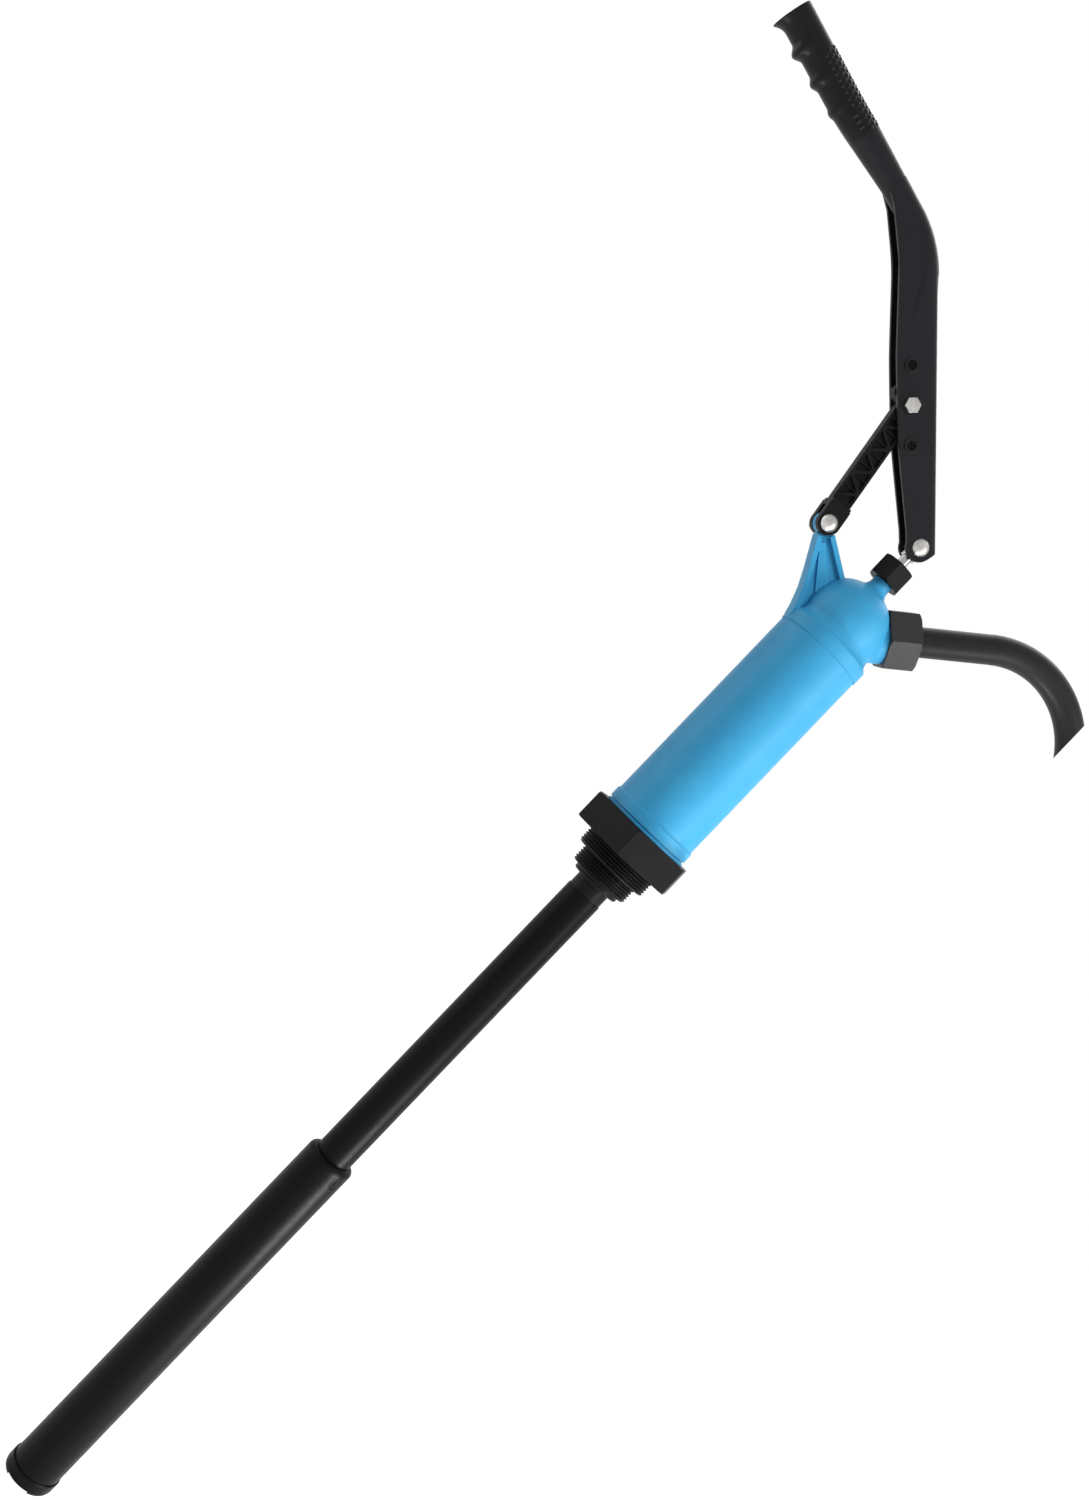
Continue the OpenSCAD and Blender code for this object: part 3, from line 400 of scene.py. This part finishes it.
GRIP_POINTS = 210                               # in each ring
GRIP_RINGS = 250
END_L = 0.9                                     # length of each rounded end
FRONT_EDGE = ((0.0, -0.12), (0.3, -0.03), (END_L, 0.0))   # (place along the grip, inset)
BACK_EDGE = ((GRIP_L - 0.45, -0.15), (GRIP_L - 0.12, -0.5), (GRIP_L, -1.1))

STUD_ROWS = range(0, 181, 18)                   # degrees round the grip's upper half
STUD_PITCH = 4.2
STUD_R = 1.45
STUD_H = 0.8
STUD_CURVE = 2.4
STUD_REACH = 2.4                                # a stud this far away adds nothing
STUD_BAND_R = 10.8                              # where the space between the rows is measured
STUDS_FROM, SIDE_STUDS_FROM, STUDS_TO = 1.6, 18.4, 57.5

RIBS_AT = (5.2, 9.2, 13.3)
RIB_ANGLES = (190, 350)
RIB_H, RIB_HALF = 0.9, 1.3                      # height and half length along the grip
RIB_REACH, RIB_FADE = 12, 5                     # degrees from its middle to its end, and of fade


def swell(x):
    """A smooth hump, 1 high at 0 and nothing beyond 1."""
    return (1 + math.cos(math.pi * x)) / 2 if abs(x) < 1 else 0.0


def fingers(t):
    return sum(high * swell((t - middle) / half) for high, middle, half in FINGERS)


def flare(t):
    if t <= GRIP_L - FLARE_L:
        return 0.0
    return FLARE_H * ((t - GRIP_L + FLARE_L) / FLARE_L) ** FLARE_CURVE


def front(t):
    return max(0.0, 1 - t / FRONT_L) ** 2


def grip_depth(t):
    return GRIP_H - FRONT_LOW * front(t) + GRIP_TAPER * t / GRIP_L + fingers(t) + flare(t)


def stud(t, a):
    """Height of the round studs over the grip's top at t along it and angle a round it."""
    best = 0.0
    for i, c in enumerate(STUD_ROWS):
        ds = math.radians((a - c + 180) % 360 - 180) * STUD_BAND_R
        if abs(ds) > STUD_REACH:
            continue
        shift = 0.0 if i % 2 else STUD_PITCH / 2
        first = (SIDE_STUDS_FROM if c in (0, 180) else STUDS_FROM) + shift
        if t < first - STUD_REACH or t > STUDS_TO + STUD_REACH:
            continue
        k = round((t - first) / STUD_PITCH)
        k = max(0, min(k, int((STUDS_TO - first) / STUD_PITCH)))
        d = math.hypot(ds, t - first - k * STUD_PITCH) / STUD_R
        if d < 1:
            best = max(best, (1 - d ** STUD_CURVE) * STUD_H)
    return best


def rib(t, a):
    """Height of the short ribs below the studs' band, near the grip's front."""
    side = min(abs(a - middle) for middle in RIB_ANGLES)
    fade = clamp((RIB_REACH - side) / RIB_FADE)
    return max(RIB_H * swell((t - at) / RIB_HALF) * fade for at in RIBS_AT)


def grip_ring(t, inset):
    row = []
    for k in range(GRIP_POINTS):
        a = 360.0 * k / GRIP_POINTS
        c, s = math.cos(math.radians(a)), math.sin(math.radians(a))
        up = inset + stud(t, a) + rib(t, a)
        w = GRIP_W / 2 + SIDE_SWELL * (fingers(t) + flare(t)) * max(0.0, -s) + up
        h = (GRIP_H / 2 + FRONT_TOP * front(t) if s > 0 else grip_depth(t) - GRIP_H / 2) + up
        row.append(on_handle(SHANK + t, w * c, GRIP_H / 2 - s * h))
    return row


def hand_grip():
    even = GRIP_L - 2 * END_L
    middle = [(END_L + even * (i + 1) / GRIP_RINGS, 0.0) for i in range(GRIP_RINGS)]
    rows = [grip_ring(t, inset) for t, inset in (*FRONT_EDGE, *middle, *BACK_EDGE)]
    v, f = rings(rows)
    for base, flip in ((0, False), (len(v) - GRIP_POINTS, True)):
        n = len(v)
        v.append(tuple(sum(p[i] for p in v[base:base + GRIP_POINTS]) / GRIP_POINTS for i in range(3)))
        for k in range(GRIP_POINTS):
            a, b = base + k, base + (k + 1) % GRIP_POINTS
            f.append((b, n, a) if flip else (a, n, b))
    o = mesh_object("hand_grip_studded", v, f, black_grip, sharp=40.0)
    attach(o, "lever")
    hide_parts("hand_grip")


hand_grip()


# ------------------------------------------------------------------ trim on the lever's cheeks

SUNK = -0.3   # how deep the trim starts inside a cheek


def softened(corners, steps, passes):
    """A line through the corners, in steps[i] steps from corner i to the next, then smoothed."""
    pts = []
    for (u0, w0), (u1, w1), n in zip(corners, corners[1:], steps):
        pts += [(u0 + (u1 - u0) * k / n, w0 + (w1 - w0) * k / n) for k in range(n)]
    pts.append(corners[-1])
    for _ in range(passes):
        inner = [((a[0] + 2 * b[0] + c[0]) / 4, (a[1] + 2 * b[1] + c[1]) / 4)
                 for a, b, c in zip(pts, pts[1:], pts[2:])]
        pts = [pts[0]] + inner + [pts[-1]]
    return pts


# the lip along each cheek's open edge: its line in u and w, and its section as (across, out)
RIM_CORNERS = ((14, 10.8), (75, 17.4), (130, 18.4), (190, 16.6), (223, 20.1))
RIM_STEPS = (15, 13, 15, 8)
RIM_SECTION = ((0.05, SUNK), (0.05, 0.15), (-0.15, 0.42), (-0.6, 0.5), (-1.05, 0.42), (-1.3, 0.1),
               (-1.35, SUNK))


def lever_rim():
    pts = softened(RIM_CORNERS, RIM_STEPS, passes=6)
    verts, faces = [], []
    for side in (-1, 1):
        rows = []
        for i, (u, w) in enumerate(pts):
            a, b = pts[max(0, i - 1)], pts[min(len(pts) - 1, i + 1)]
            du, dw = b[0] - a[0], b[1] - a[1]
            l = math.hypot(du, dw)
            nu, nw = -dw / l, du / l
            rows.append([on_lever(u + nu * off, side * (LEVER_W / 2 + up), w + nw * off)
                         for off, up in RIM_SECTION])
        m = len(RIM_SECTION)
        base = len(verts)
        v, f = rings(rows, flip=side < 0, base=base)
        verts += v
        faces += f
        faces.append(tuple(range(base, base + m)))
        faces.append(tuple(reversed(range(len(verts) - m, len(verts)))))
    o = mesh_object("lever_rim", verts, faces, black_nylon, sharp=50.0)
    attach(o, "lever")


lever_rim()


# the tongue where the handle's round runs out into each cheek: its crease in u and w
TONGUE_CREASE = ((146, 9.2), (151, 8.6), (156.5, 7.9), (162, 6.0), (168, 4.0), (173, 2.0),
                 (179.5, 0.2), (186, -0.4), (193, -0.4))
TONGUE_STEPS = (4,) * (len(TONGUE_CREASE) - 1)
TONGUE_OUTER = -OUTER + 4.6                        # w of its outer edge
TONGUE_H = 1.15
TONGUE_TIP, TONGUE_RISE, TONGUE_CURVE = 1.0, 26, 0.8   # how it rises from its tip along u
SLOPE = 3.2                                        # width of the slope from the crease to the top
SLOPE_AT = (0.0, 0.12, 0.3, 0.5, 0.7, 0.88, 1.0)   # shares of the slope's width
BACK_AT = (0.3, 0.6, 0.85)                         # shares of the way from the top to the edge
BACK_FALL = 0.4                                    # share of the height lost over that way
EDGE_SHARE, EDGE_OVER = 0.25, 1.2                  # height left at the edge, and how far it rolls over


def tongue_section(u, w, h):
    """(u, out, w) round the tongue where its crease is at w and its height is h."""
    far = w - SLOPE
    row = [(u, SUNK, w)]
    row += [(u, h * math.sin(f * math.pi / 2), w - SLOPE * f) for f in SLOPE_AT]
    row += [(u, h * (1 - BACK_FALL * f * f), far + (TONGUE_OUTER - w + SLOPE) * f) for f in BACK_AT]
    return row + [(u, h * EDGE_SHARE, TONGUE_OUTER), (u, SUNK, TONGUE_OUTER - EDGE_OVER)]


def lever_tongue(name, side):
    pts = softened(TONGUE_CREASE, TONGUE_STEPS, passes=8)
    rows = []
    for u, w in pts:
        h = TONGUE_H * min(1.0, (u - pts[0][0] + TONGUE_TIP) / TONGUE_RISE) ** TONGUE_CURVE
        rows.append([on_lever(u_, side * (LEVER_W / 2 + up), w_)
                     for u_, up, w_ in tongue_section(u, w, h)])
    v, f = rings(rows, flip=side < 0)
    n = len(rows[0])
    f.append(tuple(range(n)))
    f.append(tuple(range(len(v) - n, len(v))))
    o = mesh_object(name, v, f, black_nylon, sharp=60.0)
    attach(o, "lever")


lever_tongue("lever_tongue_near", -1)
lever_tongue("lever_tongue_far", 1)


# ------------------------------------------------------------------ stage, lights and camera

FLOOR_GAP = 0.0005                       # below the lowest point, in metres
FLOOR_HALF = 14.0
FLOOR_GREY = (0.6, 0.6, 0.6, 1)
WHITE = (1, 1, 1, 1)
FLOOR_GLOW = 0.92
SKY, SKY_STRENGTH = (0.92, 0.97, 1, 1), 0.22   # what lights the pump, apart from the lamps

LENS = 34.32                             # mm, on a sensor 36 mm wide
SENSOR = 36.0
SHIFT = (-0.0842, 0.0361)
CLIP = (0.01, 60.0)
CAMERA_ROUND = -16.0                     # degrees round from the front
CAMERA_ROLL = 43.8                       # the pump lies across the picture
CAMERA_BACK = 1.008                      # metres from the z axis
CAMERA_UP = 0.0494


def area(name, where, target, size, watts, colour=(1, 1, 1), size_y=None, mirrored=True):
    """A lamp at where that points at target; mirrored says whether shiny parts show it."""
    d = bpy.data.lights.new(name, "AREA")
    d.energy = watts
    d.color = colour
    d.shape = "RECTANGLE"
    d.size = size
    d.size_y = size_y or size
    o = bpy.data.objects.new(name, d)
    show(o)
    o.location = where
    o.visible_glossy = mirrored
    o.visible_camera = False
    o.rotation_euler = (Vector(target) - Vector(where)).to_track_quat("-Z", "Y").to_euler()


def sees_white(t):
    """1 for camera, glossy and transmission rays, so that metal shows the white surroundings too."""
    path = add(t, "ShaderNodeLightPath")
    fac = path.outputs["Is Camera Ray"]
    for name in ("Is Glossy Ray", "Is Transmission Ray"):
        n = add(t, "ShaderNodeMath", operation="MAXIMUM")
        link(t, fac, n.inputs[0])
        link(t, path.outputs[name], n.inputs[1])
        fac = n.outputs[0]
    return fac


def floor():
    """Grey to the light that falls on the pump, and white to whoever looks at it."""
    me = bpy.data.meshes.new("floor")
    z = cad_lo.z - FLOOR_GAP
    s = FLOOR_HALF
    me.from_pydata([(-s, -s, z), (s, -s, z), (s, s, z), (-s, s, z)], [], [(0, 1, 2, 3)])
    o = bpy.data.objects.new("floor", me)
    show(o)
    m, t = new_material("floor_white")
    out = add(t, "ShaderNodeOutputMaterial")
    d = add(t, "ShaderNodeBsdfDiffuse")
    put(d, Color=FLOOR_GREY)
    e = add(t, "ShaderNodeEmission")
    put(e, Color=WHITE, Strength=FLOOR_GLOW)
    both = add(t, "ShaderNodeAddShader")
    link(t, d.outputs[0], both.inputs[0])
    link(t, e.outputs[0], both.inputs[1])
    mix_shader(t, sees_white(t), d, both, out)
    me.materials.append(m)


def world():
    w = bpy.data.worlds.new("studio")
    bpy.context.scene.world = w
    w.use_nodes = True
    t = w.node_tree
    t.nodes.clear()
    out = add(t, "ShaderNodeOutputWorld")
    lit = add(t, "ShaderNodeBackground")
    put(lit, Color=SKY, Strength=SKY_STRENGTH)
    white = add(t, "ShaderNodeBackground")
    put(white, Color=WHITE, Strength=1.0)
    mix_shader(t, sees_white(t), lit, white, out)


def camera():
    d = bpy.data.cameras.new("camera")
    d.sensor_width = SENSOR
    d.lens = LENS
    d.shift_x, d.shift_y = SHIFT
    d.clip_start, d.clip_end = CLIP
    o = bpy.data.objects.new("camera", d)
    show(o)
    a = math.radians(CAMERA_ROUND)
    back = Vector((math.sin(a), -math.cos(a), 0))
    side = Vector((math.cos(a), math.sin(a), 0))
    up = Vector((0, 0, 1))
    c, s = math.cos(math.radians(CAMERA_ROLL)), math.sin(math.radians(CAMERA_ROLL))
    m = Matrix((side * c + up * s, side * -s + up * c, back)).transposed().to_4x4()
    m.translation = back * CAMERA_BACK + up * CAMERA_UP
    o.matrix_world = m
    bpy.context.scene.camera = o


floor()
world()
camera()
area("key_right", (1.35, -0.95, 0.15), (0, 0, 0.0), size=0.6, size_y=1.7, watts=23.0,
     colour=(1.0, 0.985, 0.94))
area("front_high", (0.25, -1.6, 1.30), (0, 0, 0.1), size=1.0, watts=20.5, mirrored=False)
area("low_right", (0.44, -0.31, -0.53), (0, 0, -0.46), size=0.2, watts=6.0)
area("rim_left", (-1.6, 0.25, 0.3), (0, 0, 0.1), size=0.8, size_y=1.4, watts=7.0,
     colour=(0.97, 0.98, 1.0))
area("top_back", (0.3, 0.9, 1.6), (0, 0, 0.2), size=1.2, watts=9.0)

bpy.context.scene.view_settings.view_transform = "Standard"
